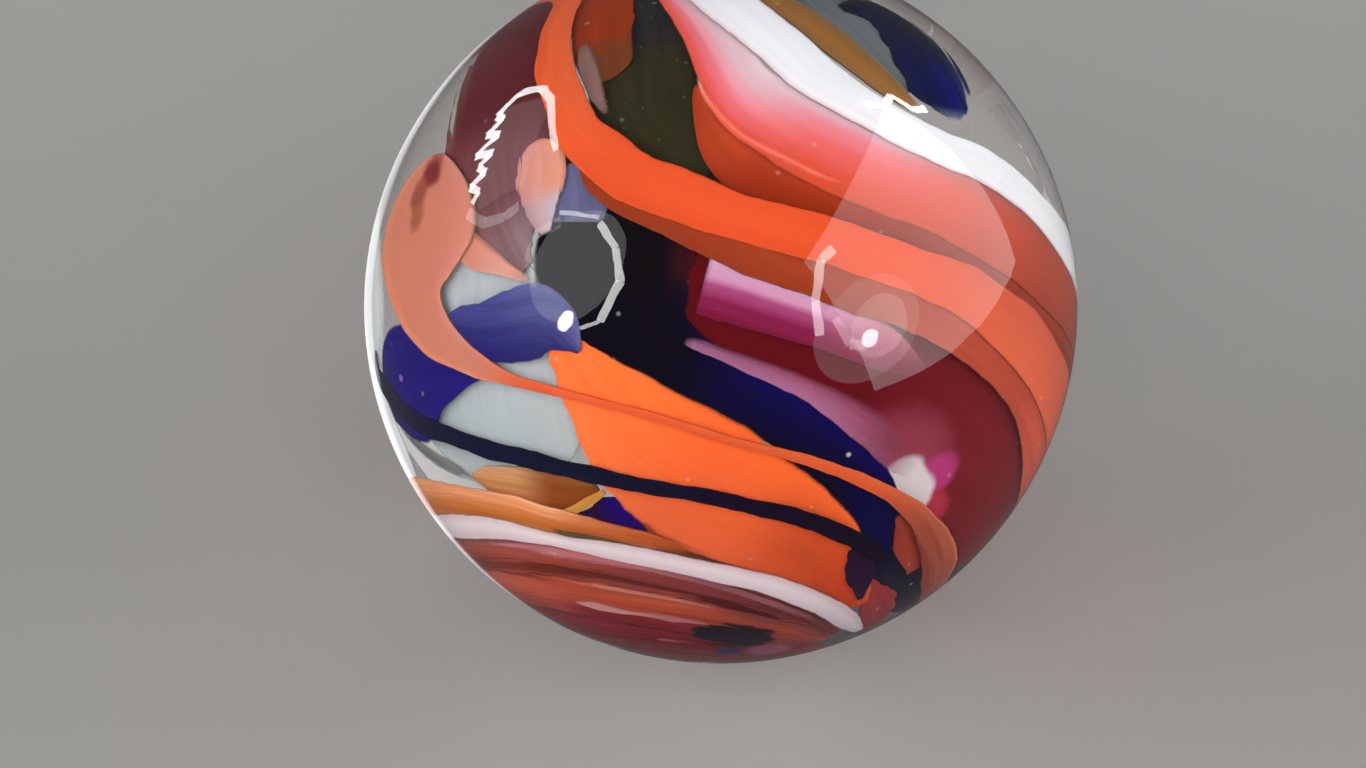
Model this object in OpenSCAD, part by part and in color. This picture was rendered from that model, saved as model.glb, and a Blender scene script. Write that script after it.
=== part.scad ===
// A ball of clear glass with ribbons of coloured glass sealed under its surface.
// The origin is the ball's centre. +Z is up, and the swirl's face looks along -Y and up.

/* [Ball] */
// Diameter of the finished ball
ball_d = 25.4; // [16:0.2:60]
// Clear glass over the outermost ribbons
cover_t = 0.3; // [0.2:0.05:0.5]

/* [Ribbons] */
// Thickness of each ribbon
ribbon_t = 0.1; // [0.06:0.01:0.2]
// Clear glass between one layer of ribbons and the next
layer_gap = 0.02; // [0.01:0.01:0.05]
// How far the swirl's face leans back from upright, in degrees
face_tilt = 45; // [0:1:90]

/* [Hidden] */
$fn = 96;
ball_r = ball_d / 2;
// A wedge is cut from the ball's centre out to this many radii, so that its flat top clears the ball.
wedge_reach = 1.5;

// Each ribbon is a list of stations [longitude, latitude, width], all in degrees of arc.
// Longitude runs to the right and latitude up from the middle of the swirl's face.

// Layer 0, the outermost
orange_path = [
    [-146, -8, 3], [-142, 4, 7], [-138, 18, 9], [-130, 33, 10], [-116, 46, 10], [-98, 57, 9],
    [-76, 62, 8], [-58, 60, 6], [-46, 50, 6], [-38, 41, 7], [-32, 35, 7], [-27, 29, 8],
    [-21, 25, 9], [-15, 21, 9], [-7, 18, 9], [1, 15, 8], [8, 13, 8], [16, 11, 8], [26, 8, 8],
    [35, 5, 8], [42, 3, 9], [50, -1, 10], [60, -6, 11], [69, -11, 11], [80, -16, 12],
    [100, -23, 12], [125, -30, 11], [150, -37, 10], [170, -43, 8], [-165, -50, 5], [-148, -54, 1],
];
white_path = [
    [-176, 24, 1], [-172, 32, 3], [-165, 43, 6], [-154, 56, 8], [-136, 68, 9], [-112, 78, 9],
    [-60, 80, 9], [-14, 69, 9], [1, 59, 10], [10, 51, 10], [15, 46, 10], [19, 41, 10], [24, 37, 9],
    [30, 33, 8], [37, 29, 7.5], [44, 26, 7], [51, 24, 7.5], [58, 21, 7.5], [64, 18, 7.5],
    [71, 14, 8], [79, 10, 9], [90, 5, 10], [107, -4, 11], [128, -13, 10], [152, -22, 9],
    [177, -28, 8], [-155, -33, 8], [-125, -37, 7], [-100, -38, 6], [-79, -38, 5], [-61, -38, 5],
    [-49, -38.7, 4.3], [-39, -40.3, 3.2], [-32, -41.7, 3], [-24, -43, 4], [-12, -45.3, 4.3],
    [0, -48, 4.5], [12, -50.7, 4.5], [24, -54.5, 4.5], [36, -58, 4.5], [50, -62, 4], [66, -65, 1.5],
];
salmon_path = [
    [-60.8, 25.3, 3], [-60.6, 23.3, 12], [-60.4, 20.3, 21], [-60.1, 17, 26], [-59.7, 13.5, 29],
    [-59.2, 10, 29.5], [-58.8, 6.8, 25.5], [-58.2, 3.6, 20], [-57.2, 0.6, 15], [-55.4, -2, 11.5],
    [-52.7, -4.4, 9], [-49.5, -6.4, 7], [-46, -8.2, 5.3], [-41.5, -10.1, 3.6], [-36.5, -11.6, 2.3],
    [-30, -13.2, 1.6], [-22, -15, 1.3], [-11, -17.8, 1.3], [2, -21.8, 1.4], [11, -24, 1.6],
    [19, -26.3, 2], [27, -29, 2.3], [34, -31.6, 2.8], [41, -34.8, 3.8], [48, -38.6, 5.2],
    [56, -43, 7], [65, -47.5, 7.5], [75, -51.5, 6.5], [90, -55, 5.5], [110, -57, 4], [130, -53, 1],
];
thread_path = [
    [-77, -7, 1], [-77.5, -11, 4], [-73, -14, 4.5], [-68, -17, 4], [-62, -19.3, 3.7],
    [-53, -21.3, 3.5], [-46, -23.2, 3.5], [-37, -25, 3.3], [-28, -27, 3], [-20, -28.7, 2.9],
    [-12, -30.2, 2.8], [-3, -31.7, 2.8], [6, -33.7, 3], [17, -36.3, 3], [28, -40, 3.4],
    [36, -43, 3.2], [41, -45.5, 1.5],
];

// Layer 1
amber_path = [
    [-25, 23, 1], [-22, 20, 3], [-17, 17, 4], [-9, 14, 5], [-4, 12, 6], [6, 8, 7], [15, 5, 7],
    [23, 2, 7], [31, 0, 7], [41, -4, 7], [52, -10, 6], [60, -14, 7], [67, -18, 9], [78, -24, 12],
    [95, -32, 12], [115, -40, 8], [130, -46, 1],
];
pink_path = [
    [-162, 32, 1], [-156, 40, 3], [-146, 51, 5], [-130, 62, 6], [-110, 72, 6], [-72, 76, 6],
    [-32, 68, 5], [-14, 60, 6], [-3, 50, 9], [3, 40, 12], [7, 35, 15], [13, 31, 16], [20, 27, 17],
    [31, 22, 16], [39, 19, 15], [48, 15, 15], [60, 10, 15], [70, 5, 14], [90, -3, 13],
    [115, -14, 12], [140, -24, 10], [165, -31, 8], [-170, -38, 2],
];
ochre_path = [
    [168, 34, 2], [172, 46, 6], [180, 60, 8], [-170, 74, 8], [-130, 86, 8], [-10, 82, 7],
    [10, 70, 7], [17, 60, 6.5], [23, 55, 7], [28, 49, 7.5], [32, 44, 7], [35.5, 40, 6.2],
    [39, 36, 4.2], [42.5, 32.8, 1],
];
leaf_path = [
    [-50.5, -1.8, 1], [-48, -2.8, 6], [-42, -3.7, 9.5], [-36, -3.2, 12], [-31, -2.4, 12.3],
    [-27.5, -3.2, 9.5], [-25, -5.3, 5.5], [-23.5, -7.2, 1],
];
comma_path = [
    [-42.5, -11, 1], [-47, -11, 4], [-51.5, -11, 8.5], [-56.5, -11, 14], [-61.5, -11.8, 19],
    [-66.5, -13.3, 20], [-71, -15, 14.5], [-75, -16.5, 5],
];
honey_path = [
    [-150, 10, 1], [-148, -2, 6], [-138, -14, 9], [-118, -25, 9], [-95, -32, 8], [-76, -32.5, 8],
    [-61, -33, 6.5], [-52, -34, 6.5], [-44, -35, 6.3], [-37, -36.7, 6], [-30, -38, 5],
    [-18, -40.5, 3.7], [-9, -42.5, 2.5], [-2, -44.5, 1.5],
];
ink_path = [
    [-12, -64.5, 1], [-6, -66, 7], [4, -67.5, 11], [15, -68.5, 10], [26, -69.5, 2],
];
peach_path = [
    [-34.8, 28, 1.5], [-34.2, 26, 8], [-33, 22.7, 9], [-32.3, 19, 8.3], [-31.7, 16.8, 6.5],
    [-31, 14.5, 5], [-30, 12, 2],
];

// Layer 2
azure_path = [
    [-27.5, 23.8, 2], [-26, 21, 6.5], [-25, 18, 10], [-24.8, 15.7, 10.5], [-24.8, 13.8, 9],
];
garnet_path = [
    [-146, 18, 2], [-140, 30, 6], [-130, 43, 8], [-114, 56, 8], [-92, 67, 8], [-62, 69, 9],
    [-43, 61, 11], [-33, 52, 11], [-28.5, 46, 10.5], [-26, 41.5, 8], [-25, 39.5, 3],
];
plume_path = [
    [38, 57, 2], [44, 57, 6], [49.5, 56, 9.5], [53.5, 52.5, 12.5], [54.5, 47.5, 15.5],
    [53, 42.5, 17.5], [51.5, 38, 14.5], [51, 34.5, 9.5], [50.5, 31.5, 3],
];
maroon_path = [
    [-104, -28, 2], [-112, -18, 9], [-115, -3, 14], [-113, 14, 17], [-106, 32, 18], [-93, 46, 17],
    [-77, 53, 15], [-65, 50.5, 20], [-56, 43, 23], [-50.5, 37, 24], [-47, 31.5, 26],
    [-45.5, 27, 27], [-44.5, 23, 25], [-42.5, 19, 21.5], [-40.5, 15, 18.5], [-38.5, 11.5, 15],
    [-36.5, 8.8, 10.5], [-33.5, 6, 4],
];
tangerine_path = [
    [-26.5, -3.5, 1], [-26, -6.5, 6], [-24, -10, 10], [-21, -14, 14], [-18, -17.5, 18],
    [-14.5, -21.5, 21.5], [-9.5, -26, 24.5], [-3, -30.5, 25.5], [5, -35.5, 24], [13, -39.5, 21.5],
    [21, -43.5, 17.5], [28.5, -48, 13], [36.5, -53, 9], [45, -57.5, 4],
];
russet_path = [
    [-5, 38.5, 0.6], [-4.6, 36.3, 1.8], [-3.2, 33, 3.8], [-1.6, 29.5, 5.8], [0.8, 26, 7.8],
    [4.6, 22.3, 9.4], [10, 18.8, 9], [18, 16.2, 6.6], [26, 14, 5.2], [34, 11.6, 5], [43, 8.5, 5],
    [55, 3.5, 6], [68, -1.5, 9], [88, -8, 10], [110, -18, 9], [135, -28, 1],
];
magenta_path = [
    [-3, 4, 11], [3, 2.3, 11], [9, 0.3, 10.5], [16, -2, 9.5], [22, -4.5, 8.5], [29, -7.5, 7],
    [36, -11, 2],
];
mauve_path = [
    [-6, -5.3, 1.5], [-3, -6.2, 2.3], [4, -9, 3], [13, -12.5, 4], [20, -16, 5.5], [28, -20.5, 7],
    [34, -24.5, 7], [39, -27.5, 4],
];
brick_path = [
    [-100, -48.5, 2], [-79, -51, 9.5], [-60, -53, 11], [-42, -56, 12], [-18, -60, 12], [6, -64, 11],
    [32, -67.5, 9], [56, -69.5, 2],
];
white_tail_path = [
    [-88, -1, 1], [-86.5, -6, 5], [-84.5, -12, 10], [-83, -17.5, 14], [-82.5, -23, 15],
    [-83.5, -28.5, 12], [-85.5, -34, 7], [-87, -38, 2],
];

// Layer 3
aventurine_path = [
    [-156, 20, 2], [-151, 30, 6], [-143, 42, 9], [-130, 54, 10], [-112, 66, 9], [-82, 73, 8],
    [-46, 69, 8], [-29, 61, 9], [-22, 53, 13], [-18.5, 46, 18], [-16.5, 39, 19], [-14, 33, 18],
    [-8, 27, 13], [-2, 22, 5],
];
opal_path = [
    [152, 36, 3], [158, 48, 10], [160, 62, 13], [140, 76, 14], [75, 80, 13], [40, 70, 13],
    [33, 62, 13], [35, 57, 14], [38.5, 51, 14], [40.5, 46, 12], [42, 41.5, 9], [43, 37.5, 4],
];
black_path = [
    [-18, 19, 12], [-18, 16, 24], [-18, 12, 28], [-18, 7, 28.5], [-17, 2, 27], [-14.5, -2.5, 22.5],
    [-11.5, -6.5, 17], [-6.5, -10, 13.5], [0, -13.3, 10.8], [8, -17.3, 9.7], [16, -21.5, 10],
    [24, -26.7, 9.7], [30.5, -33, 9.7], [37, -40.5, 9.5], [48, -48.5, 9.5], [70, -54, 10.5],
    [92, -50, 11], [110, -38, 11], [122, -22, 10], [130, -4, 9], [134, 14, 8], [134, 30, 6],
    [130, 44, 1],
];
toffee_path = [
    [-53, -28.5, 1], [-48.5, -29.3, 5], [-43, -30, 6.5], [-37, -31, 8], [-31, -31.7, 7.5],
    [-26.5, -31.5, 4], [-24, -30.5, 1.5],
];
indigo_path = [
    [-31, -36.5, 1], [-26, -36, 3], [-22, -35.5, 6], [-18.5, -38, 3], [-16, -40, 1],
];
plum_path = [
    [-160, -42, 2], [-135, -44, 8], [-110, -45, 9], [-86, -44, 9], [-57, -45, 9], [-32, -48, 8.5],
    [-10, -52.5, 8.5], [13, -57.5, 8], [35, -63, 7], [55, -67, 2],
];
opal_rim_path = [
    [-85, 17, 1], [-84, 12, 9], [-82, 5, 17], [-81, -2, 20], [-83, -8, 13], [-85, -13, 3],
];

// Layer 4, the innermost
ruby_path = [
    [-9, 5, 8], [-5, 3, 16], [4, -1, 19], [15, -5, 22], [26, -10, 26], [38, -16, 31], [52, -24, 35],
    [68, -30, 38], [84, -35, 35], [103, -41, 25], [126, -46, 16], [150, -50, 8], [170, -52, 1],
];
cloud_path = [
    [-43.5, 11.5, 2], [-43.4, 8.5, 15], [-43.3, 4, 27], [-43.2, -3, 34], [-43, -11, 38],
    [-43, -18.5, 40], [-42.5, -24.5, 33], [-42, -29.5, 20], [-41.5, -32, 8],
];
crimson_path = [
    [-140, -44, 2], [-118, -52, 9], [-88, -60, 12], [-50, -67, 14], [-15, -71, 14], [25, -75, 13],
    [75, -78, 12], [120, -74, 11], [150, -66, 10], [172, -58, 6], [-175, -52, 1],
];

// A point on the unit sphere, with the face looking along -Y.
function spot(lon, lat) = [cos(lat) * sin(lon), -cos(lat) * cos(lon), sin(lat)];

function unit(v) = v / norm(v);

// The directions of a ribbon's edge from the ball's centre: side is 1 for the left edge and -1 for the right.
function edge(path, side) =
    let (
        line = [for (station = path) spot(station[0], station[1])],
        last = len(path) - 1
    )
    [for (i = [0:last])
        let (
            ahead = line[min(i + 1, last)] - line[max(i - 1, 0)],
            across = unit(cross(line[i], ahead)),
            half_width = path[i][2] / 2
        )
        unit(line[i] + side * across * tan(half_width))];

// The sector of the ball that a ribbon fills, with its tip at the ball's centre.
module wedge(path) {
    n = len(path);
    left = edge(path, 1);
    right = edge(path, -1);
    points = concat([[0, 0, 0]], wedge_reach * ball_r * left, wedge_reach * ball_r * right);
    outer = [for (i = [1:n - 1]) each [[i, i + 1, n + i], [i + 1, n + i + 1, n + i]]];
    walls = [for (i = [1:n - 1]) each [[0, i + 1, i], [0, n + i, n + i + 1]]];
    ends = [[0, 1, n + 1], [0, 2 * n, n]];
    polyhedron(points, concat(outer, walls, ends));
}

module ribbon(path, layer) {
    top_r = ball_r - cover_t - layer * (ribbon_t + layer_gap);
    rotate([-face_tilt, 0, 0])
        intersection() {
            difference() {
                sphere(top_r);
                sphere(top_r - ribbon_t);
            }
            wedge(path);
        }
}

module clear_glass() color([0.90, 0.94, 0.94, 0.3])
    difference() {
        sphere(ball_r);
        orange_ribbon();
        white_ribbon();
        salmon_ribbon();
        navy_thread();
        amber_ribbon();
        pink_ribbon();
        ochre_ribbon();
        cobalt_leaf();
        cobalt_comma();
        honey_ribbon();
        ink_streak();
        peach_chip();
        azure_chip();
        garnet_ribbon();
        cobalt_plume();
        maroon_ribbon();
        tangerine_sheet();
        russet_ribbon();
        magenta_ribbon();
        mauve_ribbon();
        brick_ribbon();
        white_tail();
        aventurine_ribbon();
        opal_ribbon();
        black_ribbon();
        toffee_streak();
        indigo_chip();
        plum_ribbon();
        opal_rim();
        ruby_sheet();
        cloud_sheet();
        crimson_sheet();
    }

module orange_ribbon() color([0.92, 0.38, 0.18]) ribbon(orange_path, 0);
module white_ribbon() color([0.93, 0.93, 0.94]) ribbon(white_path, 0);
module salmon_ribbon() color([0.84, 0.48, 0.38]) ribbon(salmon_path, 0);
module navy_thread() color([0.08, 0.07, 0.18]) ribbon(thread_path, 0);

module amber_ribbon() color([0.67, 0.29, 0.14]) ribbon(amber_path, 1);
module pink_ribbon() color([0.93, 0.44, 0.45]) ribbon(pink_path, 1);
module ochre_ribbon() color([0.65, 0.45, 0.23]) ribbon(ochre_path, 1);
module cobalt_leaf() color([0.22, 0.21, 0.50]) ribbon(leaf_path, 1);
module cobalt_comma() color([0.15, 0.11, 0.45]) ribbon(comma_path, 1);
module honey_ribbon() color([0.86, 0.50, 0.24]) ribbon(honey_path, 1);
module ink_streak() color([0.20, 0.12, 0.18]) ribbon(ink_path, 1);
module peach_chip() color([0.84, 0.62, 0.56]) ribbon(peach_path, 1);

module azure_chip() color([0.36, 0.38, 0.63]) ribbon(azure_path, 2);
module garnet_ribbon() color([0.55, 0.20, 0.08]) ribbon(garnet_path, 2);
module cobalt_plume() color([0.09, 0.09, 0.33]) ribbon(plume_path, 2);
module maroon_ribbon() color([0.37, 0.15, 0.17]) ribbon(maroon_path, 2);
module tangerine_sheet() color([0.97, 0.44, 0.18]) ribbon(tangerine_path, 2);
module russet_ribbon() color([0.70, 0.27, 0.13]) ribbon(russet_path, 2);
module magenta_ribbon() color([0.64, 0.24, 0.49]) ribbon(magenta_path, 2);
module mauve_ribbon() color([0.67, 0.40, 0.59]) ribbon(mauve_path, 2);
module brick_ribbon() color([0.65, 0.30, 0.20]) ribbon(brick_path, 2);
module white_tail() color([0.94, 0.95, 0.96]) ribbon(white_tail_path, 2);

module aventurine_ribbon() color([0.15, 0.17, 0.10]) ribbon(aventurine_path, 3);
module opal_ribbon() color([0.45, 0.49, 0.50]) ribbon(opal_path, 3);
module black_ribbon() color([0.06, 0.03, 0.08]) ribbon(black_path, 3);
module toffee_streak() color([0.70, 0.40, 0.16]) ribbon(toffee_path, 3);
module indigo_chip() color([0.16, 0.03, 0.47]) ribbon(indigo_path, 3);
module plum_ribbon() color([0.56, 0.30, 0.33]) ribbon(plum_path, 3);
module opal_rim() color([0.84, 0.86, 0.86]) ribbon(opal_rim_path, 3);

module ruby_sheet() color([0.46, 0.10, 0.14]) ribbon(ruby_path, 4);
module cloud_sheet() color([0.72, 0.76, 0.76]) ribbon(cloud_path, 4);
module crimson_sheet() color([0.48, 0.10, 0.14]) ribbon(crimson_path, 4);

clear_glass();
orange_ribbon();
white_ribbon();
salmon_ribbon();
navy_thread();
amber_ribbon();
pink_ribbon();
ochre_ribbon();
cobalt_leaf();
cobalt_comma();
honey_ribbon();
ink_streak();
peach_chip();
azure_chip();
garnet_ribbon();
cobalt_plume();
maroon_ribbon();
tangerine_sheet();
russet_ribbon();
magenta_ribbon();
mauve_ribbon();
brick_ribbon();
white_tail();
aventurine_ribbon();
opal_ribbon();
black_ribbon();
toffee_streak();
indigo_chip();
plum_ribbon();
opal_rim();
ruby_sheet();
cloud_sheet();
crimson_sheet();
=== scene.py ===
"""A glass marble: a clear ball with ribbons of coloured glass under its surface.

Lengths are in metres. Ribbons are laid out on the swirl's face in degrees: longitude runs to the
right and latitude up from the middle of the face, which leans back from -Y by FACE_TILT.
"""

import math

import bmesh
import bpy
from mathutils import Matrix, Vector, noise


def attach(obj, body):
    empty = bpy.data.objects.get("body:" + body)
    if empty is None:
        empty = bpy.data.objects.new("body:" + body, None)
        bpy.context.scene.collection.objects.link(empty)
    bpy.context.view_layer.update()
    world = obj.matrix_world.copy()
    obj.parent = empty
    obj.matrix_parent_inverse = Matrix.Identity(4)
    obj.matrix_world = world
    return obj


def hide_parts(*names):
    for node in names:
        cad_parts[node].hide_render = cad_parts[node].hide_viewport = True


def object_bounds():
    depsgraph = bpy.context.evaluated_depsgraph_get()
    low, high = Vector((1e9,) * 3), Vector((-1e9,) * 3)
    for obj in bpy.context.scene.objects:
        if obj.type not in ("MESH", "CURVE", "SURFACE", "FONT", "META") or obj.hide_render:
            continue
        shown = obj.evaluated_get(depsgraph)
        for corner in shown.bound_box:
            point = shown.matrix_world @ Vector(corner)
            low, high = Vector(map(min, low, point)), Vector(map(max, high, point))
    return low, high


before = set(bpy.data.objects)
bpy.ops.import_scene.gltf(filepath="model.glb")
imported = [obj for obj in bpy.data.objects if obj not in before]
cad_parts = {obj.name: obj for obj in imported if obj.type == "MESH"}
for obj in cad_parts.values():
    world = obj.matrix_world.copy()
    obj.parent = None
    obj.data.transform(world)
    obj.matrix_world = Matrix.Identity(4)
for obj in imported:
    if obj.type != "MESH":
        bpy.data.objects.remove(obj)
cad_low, cad_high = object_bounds()

BALL_R = (cad_high.x - cad_low.x) / 2
COVER = 0.0003  # clear glass over the outermost ribbons
RIBBON_T = 0.0001
LAYER_STEP = 0.00012  # from the top of one layer of ribbons to the top of the next
HAIR = 0.00001  # lifts a thin line off the ribbon that it lies on
FACE_TILT = math.radians(45)
TILT = Matrix.Rotation(-FACE_TILT, 3, "X")

GLASS_IOR = 1.5
SOFT_EDGE = (0.04, 0.04, 0, 0)  # how a ribbon fades in unless it says otherwise
SEED_COLOUR = (235, 225, 220)

ROW_STEP = math.radians(1)  # between the rows of faces along a ribbon
NARROW = math.radians(3)  # below this width a ribbon's edges wander less
RUN_UNIT = 10  # degrees on the ball to one unit of the streaks' map

FLOOR_COLOUR = (186, 184, 181)
ROOM_STRENGTH = 0.1
FILL_DISTANCE, FILL_SIZE = 1.8, (2.0, 2.0)
WINDOW_DISTANCE = 0.6


# ---------------------------------------------------------------- colours


def srgb(red, green, blue):
    """A colour written 0 to 255, as linear RGBA."""

    def linear(c):
        c /= 255
        return c / 12.92 if c <= 0.04045 else ((c + 0.055) / 1.055) ** 2.4

    return (linear(red), linear(green), linear(blue), 1)


# ---------------------------------------------------------------- shader groups


def new_group(name, inputs, outputs):
    """A shader node group with named sockets: inputs are (name, type, default)."""
    group = bpy.data.node_groups.new(name, "ShaderNodeTree")
    for label, kind, default in inputs:
        socket = group.interface.new_socket(label, in_out="INPUT", socket_type="NodeSocket" + kind)
        if default is not None:
            socket.default_value = default
    for label, kind in outputs:
        group.interface.new_socket(label, in_out="OUTPUT", socket_type="NodeSocket" + kind)
    start = group.nodes.new("NodeGroupInput")
    end = group.nodes.new("NodeGroupOutput")
    return group, start.outputs, end.inputs


def math_node(tree, operation, first, second=None, clamp=False):
    node = tree.nodes.new("ShaderNodeMath")
    node.operation = operation
    node.use_clamp = clamp
    for socket, value in zip(node.inputs, (first, second)):
        if value is None:
            continue
        if isinstance(value, (int, float)):
            socket.default_value = value
        else:
            tree.links.new(value, socket)
    return node.outputs[0]


def mix_colours(tree, factor, first, second, blend="MIX"):
    node = tree.nodes.new("ShaderNodeMix")
    node.data_type = "RGBA"
    node.blend_type = blend
    for socket, value in ((node.inputs[0], factor), (node.inputs[6], first), (node.inputs[7], second)):
        if isinstance(value, (int, float, tuple)):
            socket.default_value = value
        else:
            tree.links.new(value, socket)
    return node.outputs[2]


def map_range(tree, value, low, high, to_low=0.0, to_high=1.0):
    node = tree.nodes.new("ShaderNodeMapRange")
    node.interpolation_type = "SMOOTHSTEP"
    tree.links.new(value, node.inputs["Value"])
    for name, number in (("From Min", low), ("From Max", high), ("To Min", to_low), ("To Max", to_high)):
        if isinstance(number, (int, float)):
            node.inputs[name].default_value = number
        else:
            tree.links.new(number, node.inputs[name])
    return node.outputs["Result"]


def streak_group():
    """Fine lines drawn out along a ribbon, as hot glass draws them."""
    closeness_along = 0.35
    group, given, made = new_group(
        "drawn_streaks",
        [("Run", "Vector", None), ("Fineness", "Float", 6.0)],
        [("Lines", "Float")],
    )
    stretch = group.nodes.new("ShaderNodeCombineXYZ")
    stretch.inputs["X"].default_value = closeness_along
    group.links.new(given["Fineness"], stretch.inputs["Y"])
    scaled = group.nodes.new("ShaderNodeVectorMath")
    scaled.operation = "MULTIPLY"
    group.links.new(given["Run"], scaled.inputs[0])
    group.links.new(stretch.outputs[0], scaled.inputs[1])
    lines = group.nodes.new("ShaderNodeTexNoise")
    lines.noise_dimensions = "4D"
    lines.inputs["Scale"].default_value = 1.0
    lines.inputs["Detail"].default_value = 3.0
    lines.inputs["Roughness"].default_value = 0.6
    group.links.new(scaled.outputs[0], lines.inputs["Vector"])
    group.links.new(map_range(group, lines.outputs[0], 0.3, 0.7), made["Lines"])
    return group


def edge_group():
    """A mask that fades to nothing at a ribbon's left edge, right edge, start and end."""
    group, given, made = new_group(
        "fading_edges",
        [
            ("Across", "Float", 0.5), ("Along", "Float", 0.5), ("Last", "Float", 1.0),
            ("Left", "Float", 0.0), ("Right", "Float", 0.0),
            ("Start", "Float", 0.0), ("End", "Float", 0.0), ("Waver", "Float", 0.0),
        ],
        [("Mask", "Float")],
    )
    sharp = 0.0001
    across = math_node(group, "ADD", given["Across"], given["Waver"])
    from_right = math_node(group, "SUBTRACT", 1.0, across)
    from_end = math_node(group, "SUBTRACT", given["Last"], given["Along"])
    mask = None
    for value, width in ((across, "Left"), (from_right, "Right"), (given["Along"], "Start"),
                         (from_end, "End")):
        reach = math_node(group, "MAXIMUM", given[width], sharp)
        part = map_range(group, value, 0.0, reach)
        mask = part if mask is None else math_node(group, "MULTIPLY", mask, part)
    group.links.new(mask, made["Mask"])
    return group


def seed_group():
    """Seeds: the small bubbles and specks that stay in hand-made glass."""
    empty = 0.7  # the share of the glass's cells that hold none
    group, given, made = new_group(
        "glass_seeds", [("Spacing", "Float", 900.0), ("Size", "Float", 0.12)], [("Seeds", "Float")])
    place = group.nodes.new("ShaderNodeTexCoord")
    cells = group.nodes.new("ShaderNodeTexVoronoi")
    group.links.new(place.outputs["Object"], cells.inputs["Vector"])
    group.links.new(given["Spacing"], cells.inputs["Scale"])
    near = map_range(group, cells.outputs["Distance"], given["Size"], 0.0)
    chosen = group.nodes.new("ShaderNodeSeparateColor")
    group.links.new(cells.outputs["Color"], chosen.inputs[0])
    some = math_node(group, "GREATER_THAN", chosen.outputs[0], empty)
    group.links.new(math_node(group, "MULTIPLY", near, some), made["Seeds"])
    return group


STREAKS = streak_group()
EDGES = edge_group()
SEEDS = seed_group()


# ---------------------------------------------------------------- ribbon glass


def place_group(tree, group, **values):
    """Puts a shader group in a material: values are numbers or sockets, by input name."""
    node = tree.nodes.new("ShaderNodeGroup")
    node.node_tree = group
    for name, value in values.items():
        socket = node.inputs[name]
        if isinstance(value, (int, float)):
            socket.default_value = value
        else:
            tree.links.new(value, socket)
    return node.outputs[0]


def uv_parts(tree, layer):
    uv = tree.nodes.new("ShaderNodeUVMap")
    uv.uv_map = layer
    parts = tree.nodes.new("ShaderNodeSeparateXYZ")
    tree.links.new(uv.outputs["UV"], parts.inputs[0])
    return uv.outputs["UV"], parts.outputs["X"], parts.outputs["Y"]


def ramp(tree, factor, stops):
    """A colour ramp: stops are (place, (red, green, blue))."""
    node = tree.nodes.new("ShaderNodeValToRGB")
    node.color_ramp.interpolation = "EASE"
    elements = node.color_ramp.elements
    while len(elements) < len(stops):
        elements.new(0.5)
    for element, (place, colour) in zip(elements, stops):
        element.position = place
        element.color = srgb(*colour)
    tree.links.new(factor, node.inputs[0])
    return node.outputs["Color"]


def across_colour(tree, across, colours):
    """A single colour, or [(place, colour), ...] from the ribbon's left edge, 0, to its right, 1."""
    return srgb(*colours) if isinstance(colours, tuple) else ramp(tree, across, colours)


def spot(lon, lat):
    """A point on the unit sphere, with the face looking along -Y."""
    lon, lat = math.radians(lon), math.radians(lat)
    return Vector((math.cos(lat) * math.sin(lon), -math.cos(lat) * math.cos(lon), math.sin(lat)))


def marked(tree, colour, marks):
    """Small soft-edged fields: marks are (longitude, latitude, radius, softness, colour) in degrees."""
    wander_scale, wander_reach = 700.0, 0.0008
    place = tree.nodes.new("ShaderNodeTexCoord")
    wander = tree.nodes.new("ShaderNodeTexNoise")
    wander.inputs["Scale"].default_value = wander_scale
    tree.links.new(place.outputs["Object"], wander.inputs["Vector"])
    moved = tree.nodes.new("ShaderNodeVectorMath")
    moved.operation = "MULTIPLY_ADD"
    tree.links.new(wander.outputs["Color"], moved.inputs[0])
    moved.inputs[1].default_value = (wander_reach, wander_reach, wander_reach)
    tree.links.new(place.outputs["Object"], moved.inputs[2])
    outward = tree.nodes.new("ShaderNodeVectorMath")
    outward.operation = "NORMALIZE"
    tree.links.new(moved.outputs[0], outward.inputs[0])
    for lon, lat, radius, softness, mark in marks:
        near = tree.nodes.new("ShaderNodeVectorMath")
        near.operation = "DOT_PRODUCT"
        tree.links.new(outward.outputs[0], near.inputs[0])
        near.inputs[1].default_value = TILT @ spot(lon, lat)
        edge = [math.cos(math.radians(max(radius + side * softness / 2, 0))) for side in (1, -1)]
        colour = mix_colours(tree, map_range(tree, near.outputs["Value"], *edge), colour, srgb(*mark))
    return colour


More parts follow.
